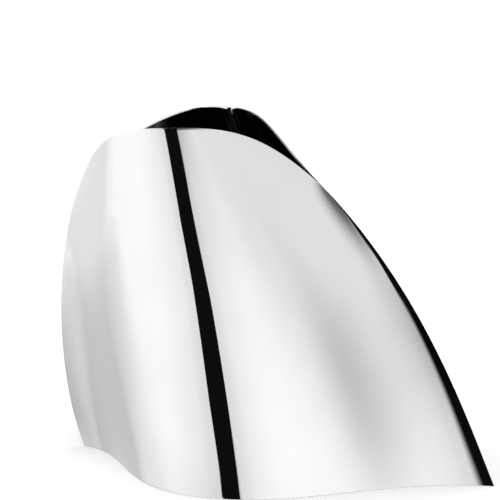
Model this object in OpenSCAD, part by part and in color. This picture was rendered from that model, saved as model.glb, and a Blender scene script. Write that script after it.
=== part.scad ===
// Free-form champagne bucket in polished stainless sheet.
//
// Two pressed half shells, mirror images about the upright plane Y = 0, meet in a sharp
// upright crease at each end: the nose (-X), which the bottle leans over, and the long tail
// (+X). Welds run down the inside of both creases, and a flanged floor pan is welded in above
// the foot. The bucket stands on the lower edge of the shells. +Z is up and the origin lies
// on the table, under the middle of the overall length and width.

/* [Overall size] */
// Foot length, from the nose corner to the tail corner
foot_length = 324; // [300:1:350]
// Foot width, across the belly
foot_width = 165; // [150:1:180]
// Height of the rim at the belly
rim_height = 264.5; // [245:0.5:285]
// Mouth width, across the rim at the belly
mouth_width = 135; // [115:1:150]
// Thickness of the steel sheet
sheet = 1.0; // [0.8:0.1:1.5]

/* [Nose crease] */
// Height at which the rim closes onto the nose
nose_height = 198; // [185:1:210]
// How far the middle of the nose line is pulled out past the foot corner
nose_swell = 22; // [10:1:28]
// How far the top of the nose line stands past the foot corner
nose_lean = 3.5; // [0:0.5:8]

/* [Tail crease] */
// Height at which the rim closes onto the tail
tail_height = 211.5; // [200:0.5:225]
// How far the top of the tail line lies in from the foot corner
tail_rake = 126; // [115:1:140]
// How far the tail line is pulled out from a straight line between its ends
tail_bow = 18; // [5:1:26]

/* [Belly] */
// Distance of the belly from mid-foot towards the nose, at the foot
belly_foot = 36; // [25:1:45]
// Distance of the belly from mid-foot towards the nose, at the rim
belly_rim = 76; // [65:1:85]
// Fullness of the belly along the foot
foot_fullness = 74; // [60:1:85]
// Fullness of the belly along the rim
rim_fullness = 48; // [40:1:56]
// Slope of the rim at the belly, rising towards the tail, in degrees
rim_slope = 3.5; // [0:0.5:8]

/* [Floor and welds] */
// Height of the underside of the floor above the table
floor_height = 12; // [8:1:25]
// Height of the floor pan's turned-up flange
flange_height = 9; // [6:1:14]
// Radius of the weld beads down the creases
seam_radius = 1.5; // [1.2:0.1:2]
// Radius of the weld bead around the floor pan
floor_bead_radius = 0.9; // [0.7:0.1:1.2]

/* [Hidden] */

// Steps of the shell's mesh along the foot, for the nose side and the tail side each, and
// from the foot to the rim
run_steps = 20;
rise_steps = 24;
// Steps along the floor pan, along a crease weld, and around a weld bead
floor_steps = 44;
seam_steps = 24;
bead_sides = 8;

// Spring gap between the floor pan's flange and the shells
floor_gap = 0.15;
// The floor pan stops in each crease where its half width has come down to this
floor_tip = 3;
// The crease welds run over this share of the crease, from just above the table
seam_start = 0.012;
seam_end = 0.965;
// Step used to measure slopes on the shell's surface
slope_step = 0.004;

// Pulls: the direction and strength with which each section of the shell leaves its crease,
// as [x, y, z] on the front side
foot_nose_pull = [47, -8, 0];
rim_nose_pull = [22, -18, 42];
foot_tail_pull = [-80, -7, 0];
rim_tail_pull = [-54, -0.5, 50];

half_foot = foot_length / 2;

// The three upright lines that the sections of the shell hang on, each a cubic curve from the
// foot to the rim: the nose crease, the front belly and the tail crease
nose_line = [
    [-half_foot, 0, 0],
    [-half_foot - nose_swell, 0, 0.27 * nose_height],
    [-half_foot - nose_swell, 0, 0.71 * nose_height],
    [-half_foot - nose_lean, 0, nose_height]
];
belly_line = [
    [-belly_foot, -foot_width / 2, 0],
    [-belly_foot - 7, -foot_width / 2 + 2, rim_height / 3],
    [-belly_rim + 20, -mouth_width / 2 - 8, rim_height * 2 / 3],
    [-belly_rim, -mouth_width / 2, rim_height]
];
tail_line = [
    [half_foot, 0, 0],
    [half_foot - tail_rake / 3 + tail_bow, 0, 0.27 * tail_height],
    [half_foot - tail_rake * 2 / 3 + 1.6 * tail_bow, 0, 0.66 * tail_height],
    [half_foot - tail_rake, 0, tail_height]
];

// The nose swells past its foot corner, so the foot is moved by half of that overhang to
// bring the middle of the whole bucket over the origin
nose_overhang = max([for (t = [0 : 0.01 : 1]) -bezier(nose_line, t)[0]]) - half_foot;
centring = nose_overhang / 2;

function blend(a, b, t) = a + (b - a) * t;

function unit(a) = a / norm(a);

function bezier(p, t) =
    pow(1 - t, 3) * p[0] + 3 * pow(1 - t, 2) * t * p[1] + 3 * (1 - t) * pow(t, 2) * p[2] + pow(t, 3) * p[3];

// One section of the front shell at a share v of the rise, as two cubic curves that meet at
// the belly: [nose side, tail side]. The nose side's pull at the belly is set so that the
// curvature runs on through the belly, with no break in the reflections.
function section(v) =
    let (
        nose = bezier(nose_line, v),
        belly = bezier(belly_line, v),
        tail = bezier(tail_line, v),
        nose_pulled = nose + blend(foot_nose_pull, rim_nose_pull, v),
        tail_pulled = tail + blend(foot_tail_pull, rim_tail_pull, v),
        rim_pull = rim_fullness * [1, 0, tan(rim_slope)],
        belly_pull = blend([foot_fullness, 0, 0], rim_pull, v),
        match = sqrt((nose_pulled[1] - belly[1]) / (tail_pulled[1] - belly[1]))
    )
    [
        [nose, nose_pulled, belly - match * belly_pull, belly],
        [belly, belly + belly_pull, tail_pulled, tail]
    ];

// A point of a section: u runs from 0 at the nose through 1 at the belly to 2 at the tail
function on_section(s, u) = u <= 1 ? bezier(s[0], u) : bezier(s[1], u - 1);

// A point at a depth below the outer surface of the front shell. What would cross the plane
// Y = 0 is stopped on it, where the two shells butt together in the creases.
function shell_point(u, v, depth = 0) =
    let (
        v_low = max(v - slope_step, 0),
        v_high = min(v + slope_step, 1),
        u_low = max(u - slope_step, 0),
        u_high = min(u + slope_step, 2),
        here = section(v),
        along = on_section(here, u_high) - on_section(here, u_low),
        up = on_section(section(v_high), u) - on_section(section(v_low), u),
        outward = unit(cross(along, up)),
        p = on_section(here, u) - depth * outward
    )
    [p[0] + centring, min(p[1], 0), v == 0 ? 0 : max(p[2], 0)];

// The share v at which the shell, at a depth, passes a height z
function rise_at(u, z, depth, v = 0.05, tries = 5) =
    tries == 0 ? v :
    let (
        miss = z - shell_point(u, v, depth)[2],
        climb = (shell_point(u, v + slope_step, depth)[2] - shell_point(u, v, depth)[2]) / slope_step
    )
    rise_at(u, z, depth, v + miss / climb, tries - 1);

function point_at(u, z, depth) = shell_point(u, rise_at(u, z, depth), depth);

// The u between a crease end and the belly at which the half width at height z is w
function run_at_height(w, z, depth, crease, belly, tries = 14) =
    let (middle = (crease + belly) / 2)
    tries == 0 ? middle :
    -point_at(middle, z, depth)[1] < w ?
        run_at_height(w, z, depth, middle, belly, tries - 1) :
        run_at_height(w, z, depth, crease, middle, tries - 1);

// The u between a crease end and the belly at which the half width of section v is w
function run_in_section(w, v, depth, crease, belly, tries = 14) =
    let (middle = (crease + belly) / 2)
    tries == 0 ? middle :
    -shell_point(middle, v, depth)[1] < w ?
        run_in_section(w, v, depth, middle, belly, tries - 1) :
        run_in_section(w, v, depth, crease, middle, tries - 1);

// A level loop inside the shells: along the front from nose to tail, back along the rear
function level_loop(z, depth, tip) =
    let (
        start = run_at_height(tip, z, depth, 0, 1),
        stop = run_at_height(tip, z, depth, 2, 1),
        front = [for (i = [0 : floor_steps]) point_at(blend(start, stop, i / floor_steps), z, depth)]
    )
    concat(front, [for (i = [floor_steps : -1 : 0]) [front[i][0], -front[i][1], front[i][2]]]);

// Two triangles for the quad a, b, c, d
function quad(a, b, c, d) = [[a, b, c], [a, c, d]];

function flat_list(lists) = [for (l = lists) each l];

// Faces between successive closed rings of n points each
function ring_walls(n, rings) = flat_list([
    for (j = [0 : rings - 2], i = [0 : n - 1])
        quad(j * n + i, (j + 1) * n + i, (j + 1) * n + (i + 1) % n, j * n + (i + 1) % n)
]);

module pressed_shell() {
    columns = 2 * run_steps;
    across = columns + 1;
    sheet_points = across * (rise_steps + 1);
    outside = [
        for (j = [0 : rise_steps], i = [0 : columns]) shell_point(i / run_steps, j / rise_steps)
    ];
    inside = [
        for (j = [0 : rise_steps], i = [0 : columns]) shell_point(i / run_steps, j / rise_steps, sheet)
    ];
    // Walks once around the edge of the sheet: foot, tail, rim, nose
    border = concat(
        [for (i = [0 : columns - 1]) i],
        [for (j = [0 : rise_steps - 1]) j * across + columns],
        [for (i = [columns : -1 : 1]) rise_steps * across + i],
        [for (j = [rise_steps : -1 : 1]) j * across]
    );
    faces = concat(
        flat_list([
            for (j = [0 : rise_steps - 1], i = [0 : columns - 1])
                let (a = j * across + i, b = a + across)
                quad(a, b, b + 1, a + 1)
        ]),
        flat_list([
            for (j = [0 : rise_steps - 1], i = [0 : columns - 1])
                let (a = sheet_points + j * across + i, b = a + across)
                quad(a, a + 1, b + 1, b)
        ]),
        flat_list([
            for (k = [0 : len(border) - 1])
                let (a = border[k], b = border[(k + 1) % len(border)])
                quad(a, b, sheet_points + b, sheet_points + a)
        ])
    );
    polyhedron(concat(outside, inside), faces, convexity = 6);
}

// A weld bead along a path of points, with a direction across the path at each point
module weld_bead(path, sideways, radius, closed = false) {
    count = len(path);
    points = [
        for (k = [0 : count - 1], i = [0 : bead_sides - 1])
            let (
                before = closed ? (k + count - 1) % count : max(k - 1, 0),
                after = closed ? (k + 1) % count : min(k + 1, count - 1),
                side = sideways[k],
                lift = unit(cross(side, path[after] - path[before])),
                angle = 360 * i / bead_sides
            )
            path[k] + radius * (cos(angle) * side + sin(angle) * lift)
    ];
    walls = ring_walls(bead_sides, count);
    last = (count - 1) * bead_sides;
    ends = closed ?
        flat_list([
            for (i = [0 : bead_sides - 1])
                quad(last + i, i, (i + 1) % bead_sides, last + (i + 1) % bead_sides)
        ]) :
        concat(
            [for (i = [1 : bead_sides - 2]) [0, i, i + 1]],
            [for (i = [1 : bead_sides - 2]) [last, last + i + 1, last + i]]
        );
    polyhedron(points, concat(walls, ends), convexity = 6);
}

// The weld in a crease lies where the shells' inner faces are two bead radii apart
module crease_seam(crease) {
    path = [
        for (k = [0 : seam_steps])
            let (
                v = blend(seam_start, seam_end, k / seam_steps),
                u = run_in_section(seam_radius, v, sheet, crease, 1),
                p = shell_point(u, v, sheet)
            )
            [p[0], 0, p[2]]
    ];
    weld_bead(path, [for (p = path) [0, 1, 0]], seam_radius);
}

module front_shell() {
    color("silver") pressed_shell();
}

module rear_shell() {
    color("gainsboro") mirror([0, 1, 0]) pressed_shell();
}

module nose_seam() {
    color("gray") crease_seam(0);
}

module tail_seam() {
    color("gray") crease_seam(2);
}

module floor_pan() {
    outer_depth = sheet + floor_gap;
    inner_depth = outer_depth + sheet;
    flange_top = floor_height + flange_height;
    count = 2 * (floor_steps + 1);
    points = concat(
        level_loop(floor_height, outer_depth, floor_tip),
        level_loop(flange_top, outer_depth, floor_tip),
        level_loop(flange_top, inner_depth, floor_tip),
        level_loop(floor_height + sheet, inner_depth, floor_tip)
    );
    // The bottom and the top of the floor are strips between the front and the rear edge
    bottom = flat_list([
        for (i = [0 : floor_steps - 1]) quad(i, i + 1, count - 2 - i, count - 1 - i)
    ]);
    top = flat_list([
        for (i = [0 : floor_steps - 1])
            quad(3 * count + i, 4 * count - 1 - i, 4 * count - 2 - i, 3 * count + i + 1)
    ]);
    color("darkgray") polyhedron(points, concat(ring_walls(count, 4), bottom, top), convexity = 6);
}

module floor_seam() {
    path = level_loop(floor_height + flange_height, sheet + floor_bead_radius / 2, floor_tip / 2);
    count = len(path);
    sideways = [
        for (k = [0 : count - 1])
            unit(cross(path[(k + 1) % count] - path[(k + count - 1) % count], [0, 0, 1]))
    ];
    color("gray") weld_bead(path, sideways, floor_bead_radius, closed = true);
}

front_shell();
rear_shell();
nose_seam();
tail_seam();
floor_pan();
floor_seam();
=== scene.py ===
"""Looks of the free-form champagne bucket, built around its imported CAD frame.

The bucket's shapes and the black flags are in millimetres in the CAD frame (+X from the nose to
the tail, +Z up, the front shell on the -Y side), and are scaled to metres when a mesh is made. The
table, the nets and the camera are in metres.
"""

import math

import bmesh
import bpy
import numpy as np
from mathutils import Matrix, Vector


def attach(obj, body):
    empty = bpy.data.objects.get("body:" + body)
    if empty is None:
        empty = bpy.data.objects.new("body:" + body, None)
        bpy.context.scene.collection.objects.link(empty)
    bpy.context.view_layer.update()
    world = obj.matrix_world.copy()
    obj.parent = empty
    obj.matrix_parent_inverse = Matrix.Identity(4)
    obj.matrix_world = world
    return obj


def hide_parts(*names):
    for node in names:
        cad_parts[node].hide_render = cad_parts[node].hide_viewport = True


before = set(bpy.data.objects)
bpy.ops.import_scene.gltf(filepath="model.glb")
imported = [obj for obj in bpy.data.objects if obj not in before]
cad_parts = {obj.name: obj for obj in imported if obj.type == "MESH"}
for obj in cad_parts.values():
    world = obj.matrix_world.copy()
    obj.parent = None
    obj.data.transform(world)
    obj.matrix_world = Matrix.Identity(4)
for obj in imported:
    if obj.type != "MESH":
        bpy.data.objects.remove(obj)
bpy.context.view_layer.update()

MM = 0.001

# ---------------------------------------------------------------- driving sizes, as in the CAD
FOOT_LENGTH = 324.0
FOOT_WIDTH = 165.0
RIM_HEIGHT = 264.5
MOUTH_WIDTH = 135.0
SHEET = 1.0
NOSE_HEIGHT = 198.0
NOSE_SWELL = 22.0
NOSE_LEAN = 3.5
TAIL_HEIGHT = 211.5
TAIL_RAKE = 126.0
TAIL_BOW = 18.0
BELLY_FOOT = 36.0
BELLY_RIM = 76.0
FOOT_FULLNESS = 74.0
RIM_FULLNESS = 48.0
RIM_SLOPE = 3.5
FLOOR_HEIGHT = 12.0
FLANGE_HEIGHT = 9.0
SEAM_RADIUS = 1.5
FLOOR_BEAD_RADIUS = 0.9
FLOOR_GAP = 0.15
FLOOR_TIP = 3.0
SEAM_START = 0.012
SEAM_END = 0.965

# Radius to which the cut edges of the sheet are polished, and of the floor pan's bend
EDGE_RADIUS = 0.15
BEND_RADIUS = 2.5

# Mesh steps of the shells: along each half of the section, and from the foot to the rim
RUN_STEPS = 110
RISE_STEPS = 130

# Points along the floor pan, and how its tips narrow as they go deeper
FLOOR_STEPS = 130
TIP_NARROWING = 0.85
SMALLEST_TIP = 0.05
# Rounding of the flange's lip
LIP = 0.25

# How far the curve handles at each crease pull the section, at the foot and at the rim
half_foot = FOOT_LENGTH / 2
foot_nose_pull = np.array([47.0, -8.0, 0.0])
rim_nose_pull = np.array([22.0, -18.0, 42.0])
foot_tail_pull = np.array([-80.0, -7.0, 0.0])
rim_tail_pull = np.array([-54.0, -0.5, 50.0])

# The three lines that the sections run between, each a cubic curve from the foot to the rim
nose_line = np.array([
    [-half_foot, 0, 0],
    [-half_foot - NOSE_SWELL, 0, 0.27 * NOSE_HEIGHT],
    [-half_foot - NOSE_SWELL, 0, 0.71 * NOSE_HEIGHT],
    [-half_foot - NOSE_LEAN, 0, NOSE_HEIGHT],
])
belly_line = np.array([
    [-BELLY_FOOT, -FOOT_WIDTH / 2, 0],
    [-BELLY_FOOT - 7, -FOOT_WIDTH / 2 + 2, RIM_HEIGHT / 3],
    [-BELLY_RIM + 20, -MOUTH_WIDTH / 2 - 8, RIM_HEIGHT * 2 / 3],
    [-BELLY_RIM, -MOUTH_WIDTH / 2, RIM_HEIGHT],
])
tail_line = np.array([
    [half_foot, 0, 0],
    [half_foot - TAIL_RAKE / 3 + TAIL_BOW, 0, 0.27 * TAIL_HEIGHT],
    [half_foot - TAIL_RAKE * 2 / 3 + 1.6 * TAIL_BOW, 0, 0.66 * TAIL_HEIGHT],
    [half_foot - TAIL_RAKE, 0, TAIL_HEIGHT],
])


# ---------------------------------------------------------------- the shell's surface
def bezier(points, t):
    """A cubic curve at t. points holds four controls, each [..., 3]; t broadcasts over them."""
    t = np.asarray(t)[..., None]
    a, b, c, d = points
    return (1 - t) ** 3 * a + 3 * (1 - t) ** 2 * t * b + 3 * (1 - t) * t ** 2 * c + t ** 3 * d


def blend(a, b, t):
    """The mix of two vectors, a at t = 0 and b at t = 1."""
    return a + (b - a) * np.asarray(t)[..., None]


# Shift along X that puts the middle of the shell's length at X = 0
centring = np.max(-bezier(nose_line, np.arange(101) / 100)[:, 0]) / 2 - half_foot / 2


def raw_point(u, v):
    """The front shell's outer surface, with u 0 nose, 1 belly, 2 tail and v 0 foot, 1 rim."""
    u, v = np.broadcast_arrays(np.asarray(u, float), np.asarray(v, float))
    nose = bezier(nose_line, v)
    belly = bezier(belly_line, v)
    tail = bezier(tail_line, v)
    nose_pulled = nose + blend(foot_nose_pull, rim_nose_pull, v)
    tail_pulled = tail + blend(foot_tail_pull, rim_tail_pull, v)
    rim_pull = RIM_FULLNESS * np.array([1.0, 0.0, math.tan(math.radians(RIM_SLOPE))])
    belly_pull = blend(np.array([FOOT_FULLNESS, 0.0, 0.0]), rim_pull, v)
    match = np.sqrt((nose_pulled[..., 1] - belly[..., 1]) / (tail_pulled[..., 1] - belly[..., 1]))
    before = bezier([nose, nose_pulled, belly - match[..., None] * belly_pull, belly], u)
    after = bezier([belly, belly + belly_pull, tail_pulled, tail], u - 1)
    return np.where((u <= 1)[..., None], before, after)


def unit(a):
    """Vectors scaled to length 1."""
    return a / np.linalg.norm(a, axis=-1, keepdims=True)


def slopes(u, v, step=0.002):
    """Surface directions along the section and up the rise."""
    u, v = np.broadcast_arrays(np.asarray(u, float), np.asarray(v, float))
    along = raw_point(np.minimum(u + step, 2), v) - raw_point(np.maximum(u - step, 0), v)
    up = raw_point(u, np.minimum(v + step, 1)) - raw_point(u, np.maximum(v - step, 0))
    return along, up


def shell_point(u, v, depth=0.0):
    """A point at a depth below the outer surface, held on the front side of Y = 0."""
    along, up = slopes(u, v)
    p = raw_point(u, v) - depth * unit(np.cross(along, up))
    p[..., 0] += centring
    p[..., 1] = np.minimum(p[..., 1], 0)
    p[..., 2] = np.where(np.broadcast_to(v, p.shape[:-1]) == 0, 0, np.maximum(p[..., 2], 0))
    return p


def rise_at(u, z, depth):
    """The share v at which the shell, at a depth, passes the height z."""
    v = np.full(np.shape(u), 0.05)
    step = 0.004
    for _ in range(6):
        here = shell_point(u, v, depth)[..., 2]
        climb = (shell_point(u, v + step, depth)[..., 2] - here) / step
        v = v + (z - here) / climb
    return v


def bisect(half_width, w, crease, belly):
    """The u between a crease and the belly at which half_width(u) is w."""
    low, high = crease, belly
    for _ in range(26):
        middle = (low + high) / 2
        if half_width(middle) < w:
            low = middle
        else:
            high = middle
    return (low + high) / 2


def level_loop(z, depth, tip, steps):
    """Points along the front of a level loop inside the shells, from nose to tail."""

    def width(u):
        u = np.array(u)
        return -shell_point(u, rise_at(u, z, depth), depth)[1]

    ends = [bisect(width, tip, crease, 1.0) for crease in (0.0, 2.0)]
    u = np.linspace(ends[0], ends[1], steps + 1)
    return shell_point(u, rise_at(u, z, depth), depth)


# ---------------------------------------------------------------- meshes
def make_piece(name, points, faces, slot, node, sharp=32.0):
    """A smooth-shaded closed mesh, from millimetres, that stands for one CAD node."""
    mesh = bpy.data.meshes.new(name)
    mesh.from_pydata([tuple(p) for p in np.asarray(points) * MM], [], faces)
    tidy = bmesh.new()
    tidy.from_mesh(mesh)
    bmesh.ops.remove_doubles(tidy, verts=tidy.verts, dist=1e-7)
    bmesh.ops.recalc_face_normals(tidy, faces=tidy.faces)
    tidy.to_mesh(mesh)
    tidy.free()
    mesh.shade_smooth()
    mesh.set_sharp_from_angle(angle=math.radians(sharp))
    piece = bpy.data.objects.new(name, mesh)
    bpy.context.scene.collection.objects.link(piece)
    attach(piece, "root")
    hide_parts(node)
    return piece


def ring_faces(rings, count):
    """Quads between successive closed rings of count points each."""
    return [
        (
            j * count + i,
            (j + 1) * count + i,
            (j + 1) * count + (i + 1) % count,
            j * count + (i + 1) % count,
        )
        for j in range(rings - 1)
        for i in range(count)
    ]


def shell_mesh():
    """The front half shell: rows that run up the outside, over the rounded rim, down the
    inside and round the foot edge, closed along both creases by a strip in the plane Y = 0."""
    u = np.linspace(0, 2, 2 * RUN_STEPS + 1)
    inner_shares = np.linspace(0, 1, RISE_STEPS + 1)[1:-1]
    arc = np.radians([0, 30, 60, 90])
    round_in = EDGE_RADIUS * (1 - np.cos(arc))
    round_up = EDGE_RADIUS * (1 - np.sin(arc))
    depths = np.concatenate([round_in, SHEET - round_in[::-1]])
    drops = np.concatenate([round_up, round_up[::-1]])

    def edge_row(v_edge, depth, drop):
        along, up = slopes(u, v_edge)
        outward = unit(np.cross(along, up))
        upward = unit(np.cross(outward, along))
        p = raw_point(u, v_edge) - depth * outward
        if v_edge == 0:
            p[:, 2] = drop
        else:
            p -= drop * upward
        p[:, 0] += centring
        p[:, 1] = np.minimum(p[:, 1], 0)
        return p

    rows = [shell_point(u, v, 0.0) for v in inner_shares]
    rows += [edge_row(1.0, depth, drop) for depth, drop in zip(depths, drops)]
    rows += [shell_point(u, v, SHEET) for v in inner_shares[::-1]]
    rows += [edge_row(0.0, depth, drop) for depth, drop in zip(depths[::-1], drops[::-1])]

    count = len(rows)
    columns = len(u)

    def index(row, column):
        return (row % count) * columns + column

    faces = [
        (index(j, i), index(j, i + 1), index(j + 1, i + 1), index(j + 1, i))
        for j in range(count)
        for i in range(columns - 1)
    ]
    # Row k on the outside and row opposite(k) on the inside are the two edges of the strip
    half_edge = len(depths) // 2

    def opposite(k):
        return 2 * len(inner_shares) + len(depths) - 1 - k

    for column in (0, columns - 1):
        for k in range(-half_edge, len(inner_shares) + half_edge - 1):
            faces.append((
                index(k, column),
                index(k + 1, column),
                index(opposite(k + 1), column),
                index(opposite(k), column),
            ))
    return np.concatenate(rows), faces


def mirrored(front):
    """A closed ring from its front half: there along the front, back along the rear."""
    return np.concatenate([front, front[::-1] * [1, -1, 1]])


def floor_mesh():
    """The floor pan: a flat floor, a rolled bend and a turned-up flange."""
    outer_depth = SHEET + FLOOR_GAP
    flange_top = FLOOR_HEIGHT + FLANGE_HEIGHT
    flange_middle = flange_top - FLANGE_HEIGHT / 2
    bend = np.radians(np.linspace(0, 90, 7))

    def corner(radius, z, depth):
        """Heights and depths round the bend, from the flange to the floor."""
        return [
            (z + radius * (1 - math.sin(angle)), depth + radius * (1 - math.cos(angle)))
            for angle in bend
        ]

    # Each face of the sheet as heights and depths, from the lip down to the floor
    outside = [(flange_top - LIP, outer_depth), (flange_middle, outer_depth)]
    outside += corner(BEND_RADIUS + SHEET, FLOOR_HEIGHT, outer_depth)
    inside = [
        (flange_top, outer_depth + LIP),
        (flange_top, outer_depth + SHEET - LIP),
        (flange_top - LIP, outer_depth + SHEET),
        (flange_middle, outer_depth + SHEET),
    ]
    inside += corner(BEND_RADIUS, FLOOR_HEIGHT + SHEET, outer_depth + SHEET)
    rings = []
    for z, depth in outside[::-1] + inside:
        tip = max(FLOOR_TIP - TIP_NARROWING * (depth - outer_depth), SMALLEST_TIP)
        rings.append(mirrored(level_loop(z, depth, tip, FLOOR_STEPS)))
    # The flat underside and top are filled in from, and towards, the middle line
    under = [rings[0] * [1, share, 1] for share in (0.0, 0.2, 0.4, 0.6, 0.8)]
    over = [rings[-1] * [1, share, 1] for share in (0.8, 0.6, 0.4, 0.2, 0.0)]
    rings = under + rings + over
    return np.concatenate(rings), ring_faces(len(rings), len(rings[0]))


def resampled(path, step, closed):
    """The path again as points at equal steps along it."""
    if closed:
        path = np.concatenate([path, path[:1]])
    lengths = np.concatenate([[0], np.cumsum(np.linalg.norm(np.diff(path, axis=0), axis=1))])
    count = int(lengths[-1] / step)
    at = np.linspace(0, lengths[-1], count + 1)
    even = np.stack([np.interp(at, lengths, path[:, k]) for k in range(3)], axis=1)
    return even[:-1] if closed else even


def bead_mesh(path, sideways, radius, closed, sides=12, ripple_pitch=1.7, ripple=0.07):
    """A weld bead along an even path: a round bar with the overlapping ripples of the pool."""
    count = len(path)
    if closed:
        ahead = np.roll(path, -1, axis=0) - np.roll(path, 1, axis=0)
    else:
        ahead = np.gradient(path, axis=0)
    lift = unit(np.cross(sideways, ahead))
    travelled = np.arange(count) * np.linalg.norm(path[1] - path[0])
    phase = (travelled / ripple_pitch) % 1.0
    scallop = radius * (1 - ripple * (1 - np.sqrt(np.clip(1 - (1 - phase) ** 2, 0, 1))))
    if not closed:
        from_end = np.minimum(travelled, travelled[-1] - travelled)
        rounding = np.sqrt(np.clip(1 - (1 - np.clip(from_end / radius, 0, 1)) ** 2, 0.01, 1))
        scallop = scallop * rounding
    angles = np.arange(sides) * 2 * math.pi / sides
    across = np.cos(angles)[None, :, None] * sideways[:, None, :]
    ring = across + np.sin(angles)[None, :, None] * lift[:, None, :]
    points = (path[:, None, :] + scallop[:, None, None] * ring).reshape(-1, 3)
    faces = ring_faces(count, sides)
    last = (count - 1) * sides
    if closed:
        faces += [(last + i, i, (i + 1) % sides, last + (i + 1) % sides) for i in range(sides)]
    else:
        faces += [tuple(range(sides)), tuple(last + i for i in range(sides))]
    return points, faces


def crease_seam_mesh(crease):
    """The weld down the inside of a crease, where the inner faces are two radii apart."""

    def inner_point(u, v):
        return shell_point(np.array(u), np.array(v), SHEET)

    path = []
    for v in np.linspace(SEAM_START, SEAM_END, 60):
        u = bisect(lambda at: -inner_point(at, v)[1], SEAM_RADIUS, crease, 1.0)
        p = inner_point(u, v)
        path.append([p[0], 0.0, p[2]])
    path = resampled(np.array(path), 0.28, closed=False)
    sideways = np.tile([0.0, 1.0, 0.0], (len(path), 1))
    return bead_mesh(path, sideways, SEAM_RADIUS, closed=False)


def floor_seam_mesh():
    """The weld around the top of the floor pan's flange."""
    front = level_loop(FLOOR_HEIGHT + FLANGE_HEIGHT, SHEET + FLOOR_BEAD_RADIUS / 2, FLOOR_TIP / 2, 160)
    path = resampled(mirrored(front), 0.3, closed=True)
    ahead = np.roll(path, -1, axis=0) - np.roll(path, 1, axis=0)
    sideways = unit(np.cross(ahead, [0.0, 0.0, 1.0]))
    return bead_mesh(path, sideways, FLOOR_BEAD_RADIUS, closed=True, sides=10, ripple_pitch=1.5)


shell_points, shell_faces = shell_mesh()
front_shell = make_piece("front_shell_polished", shell_points, shell_faces, "shell_steel", "front_shell")
rear_points = shell_points * [1, -1, 1]
rear_shell = make_piece("rear_shell_polished", rear_points, shell_faces, "shell_steel", "rear_shell")
floor_points, floor_faces = floor_mesh()
floor_pan = make_piece("floor_pan_satin", floor_points, floor_faces, "floor_steel", "floor_pan")
floor_seam = make_piece("floor_weld", *floor_seam_mesh(), "weld_steel", "floor_seam")
nose_seam = make_piece("nose_weld", *crease_seam_mesh(0.0), "weld_steel", "nose_seam")
tail_seam = make_piece("tail_weld", *crease_seam_mesh(2.0), "weld_steel", "tail_seam")


# ---------------------------------------------------------------- materials
class Nodes:
    """Short calls for building a node tree."""

    def __init__(self, tree):
        self.tree = tree
        tree.nodes.clear()

    def new(self, kind, settings=None, **inputs):
        node = self.tree.nodes.new("ShaderNode" + kind)
        for name, value in (settings or {}).items():
            setattr(node, name, value)
        for name, value in inputs.items():
            self.feed(node, name.replace("_", " "), value)
        return node

    def feed(self, node, socket, value):
        if isinstance(value, bpy.types.NodeSocket):
            self.tree.links.new(value, node.inputs[socket])
        else:
            node.inputs[socket].default_value = value

    def math(self, operation, *values):
        node = self.tree.nodes.new("ShaderNodeMath")
        node.operation = operation
        for place, value in enumerate(values):
            self.feed(node, place, value)
        return node.outputs[0]

    def spread(self, value, low, high, from_low=0.0, from_high=1.0, curve="LINEAR"):
        """The value mapped from one range onto another."""
        node = self.tree.nodes.new("ShaderNodeMapRange")
        node.interpolation_type = curve
        node.inputs["From Min"].default_value = from_low
        node.inputs["From Max"].default_value = from_high
        node.inputs["To Min"].default_value = low
        node.inputs["To Max"].default_value = high
        self.feed(node, "Value", value)
        return node.outputs[0]


# Shade painted into the base colour along the nose crease: its depth, and how fast it fades from the
# crease
PAINTED_CREASE_SHADE = 0.42
CREASE_FADE = 4.5


def nose_crease_painted_shade(n, place):
    """1 over the sheet, and less along the nose crease, where shade is painted into the base colour
    in place of a darker reflection there. It fades out a few millimetres from the crease. The painted
    shade and its limits were matched to a grey strip in the photograph."""
    split = n.new("SeparateXYZ", Vector=place)
    from_crease = n.math("ABSOLUTE", split.outputs[1])
    near = n.math("EXPONENT", n.math("DIVIDE", from_crease, -CREASE_FADE * MM))
    below = n.spread(split.outputs[2], 1.0, 0.0, 95 * MM, 172 * MM)
    above = n.spread(split.outputs[2], 0.55, 1.0, 0.0, 25 * MM)
    nose_side = n.spread(split.outputs[0], 1.0, 0.0, -60 * MM, -30 * MM)
    shade = near
    for part in (below, above, nose_side):
        shade = n.math("MULTIPLY", shade, part)
    return n.math("SUBTRACT", 1.0, n.math("MULTIPLY", shade, PAINTED_CREASE_SHADE))


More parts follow.
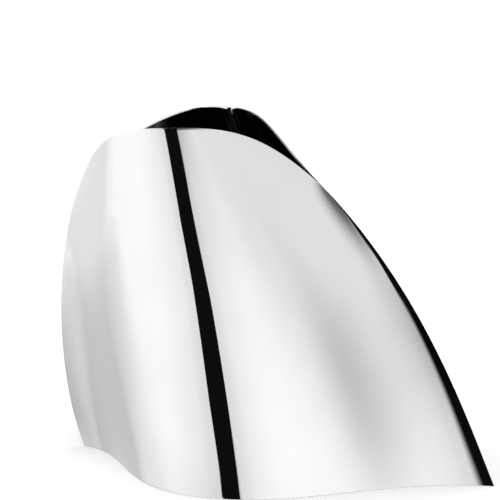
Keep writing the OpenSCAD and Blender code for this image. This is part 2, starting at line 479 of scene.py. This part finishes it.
def steel(
    name, base, roughness, roughness_spread, stretch, line_scale, wave_height, line_height, crease=False
):
    """Stainless steel: tone that drifts a little, polishing lines in the gloss and in the
    surface, and the long soft waves of pressed sheet."""
    material = bpy.data.materials.new(name)
    material.use_nodes = True
    n = Nodes(material.node_tree)
    out = n.new("OutputMaterial")
    shader = n.new("BsdfPrincipled")
    shader.inputs["Metallic"].default_value = 1.0
    shader.inputs["IOR"].default_value = 2.5
    place = n.new("TexCoord").outputs["Object"]
    drift = n.new("TexNoise", Vector=place, Scale=14.0, Detail=3.0, Roughness=0.5).outputs[0]
    lined = n.new("Mapping", Vector=place)
    lined.inputs["Scale"].default_value = stretch
    lines = n.new("TexNoise", Vector=lined.outputs[0], Scale=line_scale, Detail=6.0, Roughness=0.65)
    lines = lines.outputs[0]
    waves = n.new("TexNoise", Vector=place, Scale=9.0, Detail=1.0, Roughness=0.4).outputs[0]

    tone = n.new("Mix", {"data_type": "RGBA"})
    n.feed(tone, "Factor", n.spread(drift, 0.0, 1.0, 0.3, 0.7))
    tone.inputs[6].default_value = (*[c * 0.975 for c in base], 1)
    tone.inputs[7].default_value = (*[min(c * 1.02, 1) for c in base], 1)
    colour = tone.outputs[2]
    # With crease set, shade is painted into the base colour along the nose crease
    if crease:
        colour = n.new("VectorMath", {"operation": "SCALE"}, Scale=nose_crease_painted_shade(n, place)).outputs[0]
        n.tree.links.new(tone.outputs[2], colour.node.inputs[0])
    n.tree.links.new(colour, shader.inputs["Base Color"])

    line_gloss = n.spread(lines, -roughness_spread, roughness_spread, 0.25, 0.75)
    drift_gloss = n.spread(drift, roughness * 0.8, roughness * 1.2, 0.3, 0.7)
    gloss = n.math("ADD", line_gloss, drift_gloss)
    n.tree.links.new(n.math("MAXIMUM", gloss, 0.005), shader.inputs["Roughness"])

    height = n.math("ADD", n.math("MULTIPLY", waves, wave_height), n.math("MULTIPLY", lines, line_height))
    bump = n.new("Bump", Strength=1.0, Distance=1.0, Height=height)
    n.tree.links.new(bump.outputs[0], shader.inputs["Normal"])
    n.tree.links.new(shader.outputs[0], out.inputs[0])
    return material


# The polished steel carries painted shade along its nose crease
polished = steel(
    "polished_steel", (0.80, 0.80, 0.795), 0.03, 0.012,
    stretch=(1.0, 1.0, 9.0), line_scale=140.0, wave_height=1.2e-6, line_height=1.5e-8, crease=True,
)
satin = steel(
    "satin_steel", (0.62, 0.62, 0.61), 0.30, 0.08,
    stretch=(0.6, 14.0, 14.0), line_scale=120.0, wave_height=4e-6, line_height=5e-6,
)
weld = steel(
    "weld_steel", (0.56, 0.555, 0.54), 0.36, 0.10,
    stretch=(1.0, 1.0, 1.0), line_scale=500.0, wave_height=1e-5, line_height=2e-5,
)
for piece, material in (
    (front_shell, polished), (rear_shell, polished), (floor_pan, satin),
    (floor_seam, weld), (nose_seam, weld), (tail_seam, weld),
):
    piece.data.materials.append(material)


# ---------------------------------------------------------------- floor and light
TABLE_HALF = 15.0
TABLE_DROP = 0.0002


def flat_paint(name, color):
    """A dull paint with no gloss."""
    material = bpy.data.materials.new(name)
    material.use_nodes = True
    shader = material.node_tree.nodes["Principled BSDF"]
    shader.inputs["Base Color"].default_value = (*color, 1)
    shader.inputs["Roughness"].default_value = 0.9
    shader.inputs["Specular IOR Level"].default_value = 0.0
    return material


table_corners = [(x * TABLE_HALF, y * TABLE_HALF, 0) for x, y in ((-1, -1), (1, -1), (1, 1), (-1, 1))]
table_mesh = bpy.data.meshes.new("table")
table_mesh.from_pydata(table_corners, [], [(0, 1, 2, 3)])
table_mesh.materials.append(flat_paint("table_white", (0.9, 0.9, 0.9)))
table = bpy.data.objects.new("table", table_mesh)
table.location = (0, 0, -TABLE_DROP)
table.visible_glossy = False
bpy.context.scene.collection.objects.link(table)

# A broad soft light overhead shapes the floor and the shadow, and is kept out of the mirror
overhead = bpy.data.lights.new("overhead", "SUN")
overhead.energy = 2.9
overhead.angle = math.radians(70)
overhead_object = bpy.data.objects.new("overhead", overhead)
overhead_object.rotation_euler = (math.radians(8), math.radians(-6), 0)
overhead_object.visible_glossy = False
bpy.context.scene.collection.objects.link(overhead_object)

# The tent that the steel reflects. Azimuth 0 is the way to the viewer's side (-Y), 90 is +X.
world = bpy.data.worlds.new("studio")
bpy.context.scene.world = world
world.use_nodes = True
w = Nodes(world.node_tree)
direction = w.new("TexCoord").outputs["Generated"]
split = w.new("SeparateXYZ", Vector=direction)
towards_viewer = w.math("MULTIPLY", split.outputs[1], -1.0)
azimuth = w.math("DEGREES", w.math("ARCTAN2", split.outputs[0], towards_viewer))
elevation = w.math("DEGREES", w.math("ARCSINE", split.outputs[2]))


def soft_step(value, start, stop, low=0.0, high=1.0):
    """low before start, high after stop, and smooth between."""
    return w.spread(value, low, high, start, stop, curve="SMOOTHSTEP")


def tent_ramp(stops):
    """Brightness around the tent: a ramp over azimuth through (azimuth, level) stops."""
    ramp = w.tree.nodes.new("ShaderNodeValToRGB")
    ramp.color_ramp.interpolation = "LINEAR"
    w.feed(ramp, "Fac", w.spread(azimuth, 0.0, 1.0, -180.0, 180.0))
    elements = ramp.color_ramp.elements
    while len(elements) > 1:
        elements.remove(elements[-1])
    for k, (at, level) in enumerate(stops):
        place = (at + 180.0) / 360.0
        element = elements[0] if k == 0 else elements.new(place)
        element.position = place
        element.color = (level, level, level, 1)
    return ramp.outputs[0]


# These two rings were not designed by hand. Another program fitted low_ring's levels from -104 to 60
# and high_ring's from -110 to 110 to the brightness of the photograph, by least squares, and they
# were rounded. The other levels were chosen.
# Low down, at the height of the bucket: soft boxes left and right of the viewer, and two behind
low_ring = tent_ramp([
    (-180, 0.97), (-165, 1.12), (-152, 1.08), (-140, 0.97),
    (-104, 0.91), (-98, 1.08), (-90, 1.17), (-73, 1.20), (-58, 1.205), (-42, 1.165),
    (-26, 1.08), (-16, 1.03), (-10, 0.94), (-4, 0.90),
    (12, 0.88), (17, 0.92), (23, 1.035), (30, 1.115),
    (38, 1.19), (46, 1.21), (52, 1.17), (60, 1.02), (90, 0.95),
    (102, 0.95), (118, 1.10), (134, 1.18), (148, 1.06), (158, 0.90), (170, 0.88), (180, 0.97),
])
# Higher up: brightest on the left, darkest over the front gap, and even behind
high_ring = tent_ramp([
    (-180, 0.92), (-110, 0.97), (-80, 1.10), (-40, 1.22), (-4, 0.78), (12, 0.40), (22, 0.63), (30, 0.66),
    (46, 0.87), (62, 0.92), (90, 0.92), (110, 0.89), (180, 0.92),
])
rise = soft_step(elevation, -5.5, 28.0)
low_share = w.math("MULTIPLY", low_ring, w.math("SUBTRACT", 1.0, rise))
ring = w.math("ADD", low_share, w.math("MULTIPLY", high_ring, rise))

# The left box fades towards its foot
left_side = soft_step(azimuth, -42.0, -72.0)
sinking = soft_step(elevation, -12.0, -27.0)
left_foot = w.math("MULTIPLY", left_side, sinking)
fade = w.math("SUBTRACT", 1.0, w.math("MULTIPLY", left_foot, 0.14))

# The tent is open at two gaps, in front of the bucket and behind it. behind is the azimuth
# measured from the middle of the back gap.
BACK_GAP_AZIMUTH = 163.0
behind = w.math("WRAP", w.math("SUBTRACT", azimuth, BACK_GAP_AZIMUTH), 180.0, -180.0)

# The tent's roof is open to the dark room too; its edge comes down low beside each gap
roof_right = w.spread(azimuth, 7.0, 55.0, 4.4, 118.7)
roof_left = w.spread(azimuth, 55.0, 0.0, -30.0, 4.4)
roof_behind_left = w.spread(behind, 12.0, 55.0, 8.0, 100.0)
roof_behind_right = w.spread(behind, 55.0, 12.0, -50.0, -8.0)
front_edge = w.math("MAXIMUM", roof_right, roof_left)
back_edge = w.math("MAXIMUM", roof_behind_left, roof_behind_right)
roof_height = w.math("SUBTRACT", elevation, w.math("MINIMUM", front_edge, back_edge))
roof_border = soft_step(roof_height, -6.7, 7.0, 1.0, 0.17)
roof_dark = soft_step(roof_height, 9.0, 18.0, 1.0, 0.06)
roof = w.math("MULTIPLY", roof_border, roof_dark)

# The front gap, on the viewer's side: it widens upwards, and its right side is softer low down and
# high up than at the level of the bucket's middle
gap_right = soft_step(elevation, 4.0, 14.0, 13.0, 20.0)
gap_right = w.math("ADD", gap_right, soft_step(elevation, 3.0, -4.0, 0.0, -2.8))
gap_right = w.math("ADD", gap_right, soft_step(elevation, -6.0, -12.0, 0.0, 0.7))
gap_softness = soft_step(elevation, 3.0, -3.0, 0.9, 2.9)
gap_softness = w.math("ADD", gap_softness, soft_step(elevation, 4.0, 12.0, 0.0, 1.6))
past_left = soft_step(azimuth, -3.0, -1.5)
past_right = w.math("DIVIDE", w.math("SUBTRACT", azimuth, gap_right), gap_softness)
front_gap = w.math("MULTIPLY", past_left, soft_step(past_right, 1.0, -1.0))

# The back gap, a plain upright slot
back_gap = w.math("MULTIPLY", soft_step(behind, -7.0, -5.0), soft_step(behind, 7.0, 5.0))
GAP_DEPTH = 0.995
gap = w.math("SUBTRACT", 1.0, w.math("MULTIPLY", w.math("ADD", front_gap, back_gap), GAP_DEPTH))

tent = ring
for factor in (fade, roof, gap):
    tent = w.math("MULTIPLY", tent, factor)
studio = w.new("Background")
w.feed(studio, "Color", tent)
plain = w.new("Background", Color=(1, 1, 1, 1), Strength=1.0)
seen = w.new("LightPath").outputs["Is Camera Ray"]
pick = w.new("MixShader")
w.feed(pick, 0, seen)
w.feed(pick, 1, studio.outputs[0])
w.feed(pick, 2, plain.outputs[0])
w.tree.links.new(pick.outputs[0], w.new("OutputWorld").inputs[0])


def only_in_mirror(thing):
    """Puts a piece of studio gear on the stage so that only reflections see it."""
    bpy.context.scene.collection.objects.link(thing)
    for ray in ("camera", "diffuse", "transmission", "volume_scatter", "shadow"):
        setattr(thing, "visible_" + ray, False)
    return thing


def scrim(name, corners, centre, reach, slant, power, depth):
    """A soft grey net that only the mirror sees: it takes depth out of the light at its
    centre and less outwards, over reach (metres) along its two flat directions."""
    mesh = bpy.data.meshes.new(name)
    mesh.from_pydata(corners, [], [(0, 1, 2, 3)])
    material = bpy.data.materials.new(name)
    material.use_nodes = True
    n = Nodes(material.node_tree)
    split = n.new("SeparateXYZ", Vector=n.new("TexCoord").outputs["UV"])
    across = n.math("SUBTRACT", split.outputs[0], centre[0])
    up = n.math("SUBTRACT", split.outputs[1], centre[1])
    across = n.math("SUBTRACT", across, n.math("MULTIPLY", up, slant))
    far_across = n.math("POWER", n.math("ABSOLUTE", n.math("DIVIDE", across, reach[0])), 2.0)
    far_up = n.math("POWER", n.math("ABSOLUTE", n.math("DIVIDE", up, reach[1])), 2.0)
    far = n.math("ADD", far_across, far_up)
    shade = n.math("EXPONENT", n.math("MULTIPLY", n.math("POWER", far, power), -1.0))
    through = n.new("BsdfTransparent")
    n.feed(through, "Color", n.math("SUBTRACT", 1.0, n.math("MULTIPLY", shade, depth)))
    n.tree.links.new(through.outputs[0], n.new("OutputMaterial").inputs[0])
    mesh.materials.append(material)
    return only_in_mirror(bpy.data.objects.new(name, mesh))


def flat_uv(net, coordinates):
    """Gives a scrim's corners their own flat coordinates, in metres."""
    layer = net.data.uv_layers.new(name="flat")
    for loop, uv in zip(layer.data, coordinates):
        loop.uv = uv


# Both nets' places, sizes and depths started from fits to the photograph's brightness too, and some
# were then changed.
# Beside the tail's flank: the soft grey patch between the right box and the tent wall
FLANK_DISTANCE = 0.1196
flank_along = Vector((0.865, 0.502, 0.0))
flank_out = Vector((0.502, -0.865, 0.0))
flank_corners = [(0.0, -0.15), (0.16, -0.15), (0.16, 0.32), (0.0, 0.32)]
flank_foot = flank_out * FLANK_DISTANCE
flank_net = scrim(
    "flank_net", [flank_foot + flank_along * a + Vector((0, 0, z)) for a, z in flank_corners],
    centre=(0.078, 0.071), reach=(0.021, 0.101), slant=-0.13, power=1.0, depth=0.37,
)
flat_uv(flank_net, flank_corners)
# Flat on the table past the nose: it greys what the nose reflects from below
nose_corners = [(-1.1, -0.35), (0.0, -0.35), (0.0, 0.35), (-1.1, 0.35)]
nose_net = scrim(
    "nose_net", [Vector((x, y, 0.0)) for x, y in nose_corners],
    centre=(-0.45, 0.02), reach=(0.60, 0.13), slant=0.0, power=1.5, depth=0.21,
)
flat_uv(nose_net, nose_corners)

# The black flag in the front gap, seen in the belly as a narrow band. Each row is a height and
# the flag's left and right edges there. The edges were not drawn by hand: another program traced the
# black band's edges in the photograph out through the reflection, and they were rounded. The top and
# bottom rows were extended.
FLAG_Y = -300.0
flag_rows = [
    (900, -70, 40), (320, -70, 36), (280, -68.5, 25), (240, -68, 17), (200, -66, 16.5), (140, -50.5, 30),
    (30, -38.5, 39), (-40, -22.5, 43.5), (-600, -22.5, 43.5),
]
flag_paint = bpy.data.materials.new("black_flag")
flag_paint.use_nodes = True
flag_nodes = Nodes(flag_paint.node_tree)
almost_black = flag_nodes.new("Emission", Color=(0.005, 0.005, 0.005, 1))
flag_paint.node_tree.links.new(almost_black.outputs[0], flag_nodes.new("OutputMaterial").inputs[0])


def black_flag(name, points, faces):
    """A black card, from millimetres, that only reflections see."""
    mesh = bpy.data.meshes.new(name)
    mesh.from_pydata([Vector(p) * MM for p in points], [], faces)
    mesh.materials.append(flag_paint)
    return only_in_mirror(bpy.data.objects.new(name, mesh))


black_flag(
    "front_flag",
    [(x, FLAG_Y, z) for z, left, right in flag_rows for x in (left, right)],
    [(2 * k, 2 * k + 1, 2 * k + 3, 2 * k + 2) for k in range(len(flag_rows) - 1)],
)
# Over the nose, where the photographed bucket holds its dark bottle: it keeps the light out of the
# inside of the rear shell
black_flag(
    "bottle_flag",
    [(-140, -8, 196), (-140, 12, 196), (-140, 12, 240), (-140, -8, 240)],
    [(0, 1, 2, 3)],
)

# ---------------------------------------------------------------- camera
scene = bpy.context.scene
scene.view_settings.view_transform = "Standard"
scene.view_settings.look = "None"

# Solved together with the driving sizes, so that the model's outline falls on the photograph's
CAMERA_AZIMUTH = 16.542
CAMERA_ELEVATION = 12.0
CAMERA_DISTANCE = 1.2
LENS = 115.776
aim = Vector((-0.016816, 0.0, 0.166381))
azimuth_angle = math.radians(CAMERA_AZIMUTH)
elevation_angle = math.radians(CAMERA_ELEVATION)
away = Vector((
    math.sin(azimuth_angle) * math.cos(elevation_angle),
    -math.cos(azimuth_angle) * math.cos(elevation_angle),
    math.sin(elevation_angle),
))
camera_data = bpy.data.cameras.new("camera")
camera_data.sensor_width = 36.0
camera_data.lens = LENS
camera = bpy.data.objects.new("camera", camera_data)
camera.location = aim + CAMERA_DISTANCE * away
camera.rotation_euler = away.to_track_quat("Z", "Y").to_euler()
scene.collection.objects.link(camera)
scene.camera = camera
